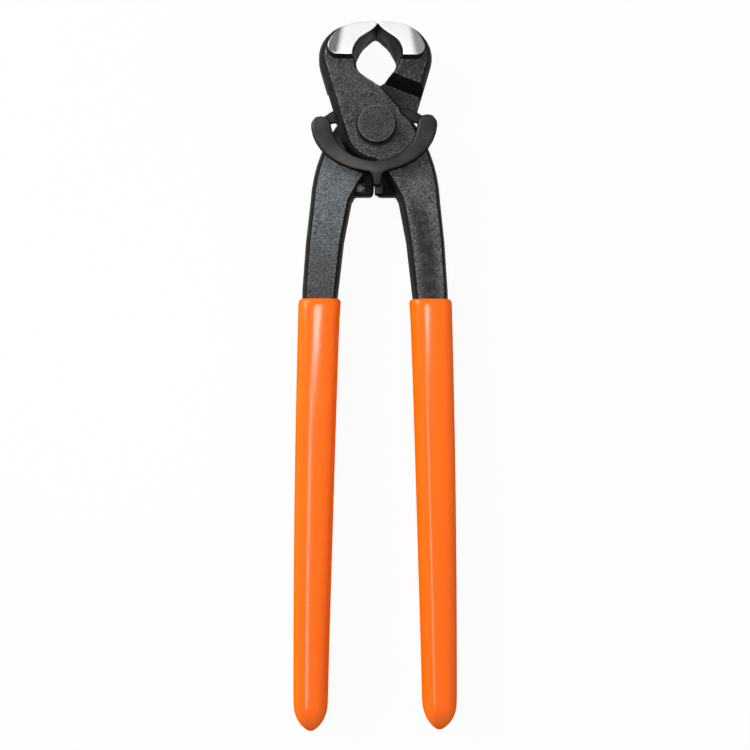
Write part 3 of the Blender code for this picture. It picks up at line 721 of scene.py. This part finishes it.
def rivet_finish():
    """Dark blasted steel with a painted highlight round the head's rim, and painted shade on its steep sides.
    """
    steel = Finish("rivet_steel_skin")
    x, y, z = steel.parts(steel.place())
    squared = x * x + y * y
    radius = squared.maths("SQRT", squared, 0)
    top = JOINT_HEIGHT + HEAD_TOP
    # painted highlight round the head's rim
    rim_highlight = (radius.step(*[(HEAD_RADIUS - inside) * MM for inside in RIM_HIGHLIGHT_RADIUS])
           * z.step(*[(top - below) * MM for below in RIM_HIGHLIGHT_HEIGHT]))
    grain = steel.noise(1600, 2)
    share = grain.step(0.34, 0.70) * 0.7 + steel.noise(240, 2).step(0.35, 0.7) * 0.3
    skin = steel.blend(share, grey(0.022), grey(0.074))
    # painted shade: the steep sides are nearly black
    skin = steel.blend(steel.flatness().step(0.3, 0.8), grey(0.006), skin)
    steel.set(base_color=steel.blend(rim_highlight * (0.1 + share * 0.5), skin, grey(0.24)), specular_ior_level=0.06,
              roughness=0.5 - rim_highlight * 0.15, normal=steel.bump(grain, 0.45, 0.00012))
    return steel.material


rivet_steel = rivet_finish()
rivet = make_rivet()
dress(rivet, rivet_steel, "front_half", "rivet_steel", "pivot_rivet")
for node in ("rivet_washer", "pivot_bush"):
    frame["nodes"][node].data.materials.clear()
    frame["nodes"][node].data.materials.append(rivet_steel)

# %% [markdown]
# Each grip is a sleeve of soft plastic that the handle was dipped into. It is drawn like dough: a rounded
# square is extruded from station to station down the handle, closed to a blunt tip, and then its upper end is
# pushed back in to make the hollow that the handle fills. Subdivision smooths the lot.

# %% Grip sections
GRIP_SIDES = 32
GRIP_SQUARENESS = 3.2        # exponent of the section's rounded square


def start_section(name):
    """A rounded square one millimetre in half width, standing across the handles at the pivot."""
    bpy.ops.object.select_all(action="DESELECT")
    bpy.ops.mesh.primitive_circle_add(vertices=GRIP_SIDES, radius=MM, fill_type="NGON",
                                      location=(0, 0, JOINT_HEIGHT * MM), rotation=(pi / 2, 0, 0))
    section = bpy.context.object
    section.name = name
    bpy.ops.object.transform_apply(location=True, rotation=True, scale=True)
    power = 2 / GRIP_SQUARENESS
    for vertex in section.data.vertices:
        across, up = vertex.co.x / MM, vertex.co.z / MM - JOINT_HEIGHT
        vertex.co.x = copysign(abs(across) ** power, across) * MM
        vertex.co.z = (copysign(abs(up) ** power, up) + JOINT_HEIGHT) * MM
    return section


def move_ring(side, state, below, middle, half, depth, extrude=True):
    """Takes the selected ring on to the next station; state holds where the ring is now."""
    shift = (side * (middle - state["middle"]) * MM, -(below - state["below"]) * MM, 0)
    if extrude:
        bpy.ops.mesh.extrude_region_move(TRANSFORM_OT_translate={"value": shift})
    else:
        bpy.ops.transform.translate(value=shift)
    centre = (side * middle * MM, -below * MM, JOINT_HEIGHT * MM)
    bpy.ops.transform.resize(value=(half / state["half"], 1, depth / state["depth"]), center_override=centre)
    state.update(below=below, middle=middle, half=half, depth=depth)


# %% [markdown]
# A station is a place along the grip: its distance below the pivot, its centre line's distance from the
# middle of the tool, and its half width. The grip tapers slowly and its two sides are mirror images.

# %% Grips
GRIP_STATIONS = ((61.2, 19.59, 7.55), (65, 19.85, 7.35), (90, 20.6, 7.2), (120, 21.35, 7.05),
                 (160, 22.15, 6.65), (190, 22.62, 6.23), (202, 22.75, 6.15))
GRIP_MOUTH = (59.9, 19.5, 7.6)
GRIP_HALF_DEPTH = 6.9
GRIP_TIP = 10.3              # length of the tip
GRIP_TIP_POWER = 0.76        # how pointed the tip is
TIP_SHARES = (0.25, 0.45, 0.63, 0.78, 0.9, 0.975)
MOUTH_MARGIN = 0.01          # faces no further below the mouth than this belong to it
LIP = 1.1                    # rounding of the grip's mouth
LIP_SHARE = 0.3              # how far into the lip its second ring lies
HOLLOW_DEPTH = 5.8           # half depth of the hollow
HOLLOW_END_DEPTH = 4.0
HOLLOW_STATIONS = ((65, 19.85, 6.3), (90, 20.6, 6.15), (120, 21.35, 6.0), (160, 22.15, 5.6),
                   (196, 22.75, 5.1))
HOLLOW_END = (206.3, 22.95, 3.1)
HOLLOW_WALL = 1.05           # wall at the mouth
HOLLOW_START = (0.4, 1.07)   # below the mouth, and wall there


def draw_outside(side, state):
    """Draws the active section from the mouth down to the tip."""
    bpy.ops.object.mode_set(mode="EDIT")
    bpy.ops.mesh.select_all(action="SELECT")
    below, middle, half = GRIP_MOUTH
    move_ring(side, state, below, middle, half - LIP, GRIP_HALF_DEPTH - LIP, extrude=False)
    inner = LIP * LIP_SHARE
    move_ring(side, state, below + inner, middle, half - inner, GRIP_HALF_DEPTH - inner)
    for below, middle, half in GRIP_STATIONS:
        move_ring(side, state, below, middle, half, GRIP_HALF_DEPTH)
    for share in TIP_SHARES:
        size = (1 - share * share) ** GRIP_TIP_POWER
        move_ring(side, state, below + GRIP_TIP * share, middle, half * size, GRIP_HALF_DEPTH * size)
    bpy.ops.object.mode_set(mode="OBJECT")


def push_hollow(grip, side, state):
    """Narrows the face at the mouth to the hollow and pushes it in."""
    below, middle, half = GRIP_MOUTH
    deselect_mesh(grip)
    for polygon in grip.data.polygons:
        polygon.select = polygon.center.y > -(below + MOUTH_MARGIN) * MM
    print(grip.name, "mouth faces", sum(polygon.select for polygon in grip.data.polygons))
    bpy.ops.object.mode_set(mode="EDIT")
    state.update(below=below, middle=middle, half=half - LIP, depth=GRIP_HALF_DEPTH - LIP)
    move_ring(side, state, below, middle, half - HOLLOW_WALL, HOLLOW_DEPTH)
    start, wall = HOLLOW_START
    move_ring(side, state, below + start, middle, half - wall, HOLLOW_DEPTH)
    for station in HOLLOW_STATIONS:
        move_ring(side, state, *station, HOLLOW_DEPTH)
    move_ring(side, state, *HOLLOW_END, HOLLOW_END_DEPTH)


def make_grip(name, side):
    grip = start_section(name)
    state = {"below": 0.0, "middle": 0.0, "half": 1.0, "depth": 1.0}
    draw_outside(side, state)
    push_hollow(grip, side, state)
    bpy.ops.mesh.select_all(action="SELECT")
    bpy.ops.mesh.normals_make_consistent(inside=False)
    bpy.ops.object.mode_set(mode="OBJECT")
    smooth = grip.modifiers.new("smooth", "SUBSURF")
    smooth.levels = smooth.render_levels = 2
    bpy.ops.object.modifier_apply(modifier=smooth.name)
    bpy.ops.object.shade_smooth()
    return grip


# %% [markdown]
# Dipped plastic is bright orange all through, with a glossy skin that ripples a little along the handle,
# because the plastic ran down before it set. The colour drifts only slightly.

# %% Dipped plastic
ORANGE_DEEP = (1.0, 0.136, 0.001, 1)
ORANGE_PALE = (1.0, 0.152, 0.002, 1)
RIPPLE = (160, 60, 160)


def dipped_finish():
    plastic = Finish("dipped_plastic")
    cloud = plastic.noise(45, 2)
    ripple = plastic.noise(1.0, 2, plastic.stretched(RIPPLE))
    plastic.set(base_color=plastic.blend(cloud, ORANGE_DEEP, ORANGE_PALE), roughness=0.4,
                specular_ior_level=0.0, coat_weight=plastic.gloss(0.45), coat_roughness=0.14,
                normal=plastic.bump(ripple, 0.015, 0.0004))
    return plastic.material


orange_plastic = dipped_finish()
for grip_name, grip_side, grip_body in (("right_grip", 1, "front_half"), ("left_grip", -1, "rear_half")):
    grip = make_grip(grip_name + "_sleeve", grip_side)
    dress(grip, orange_plastic, grip_body, "orange_plastic", grip_name)
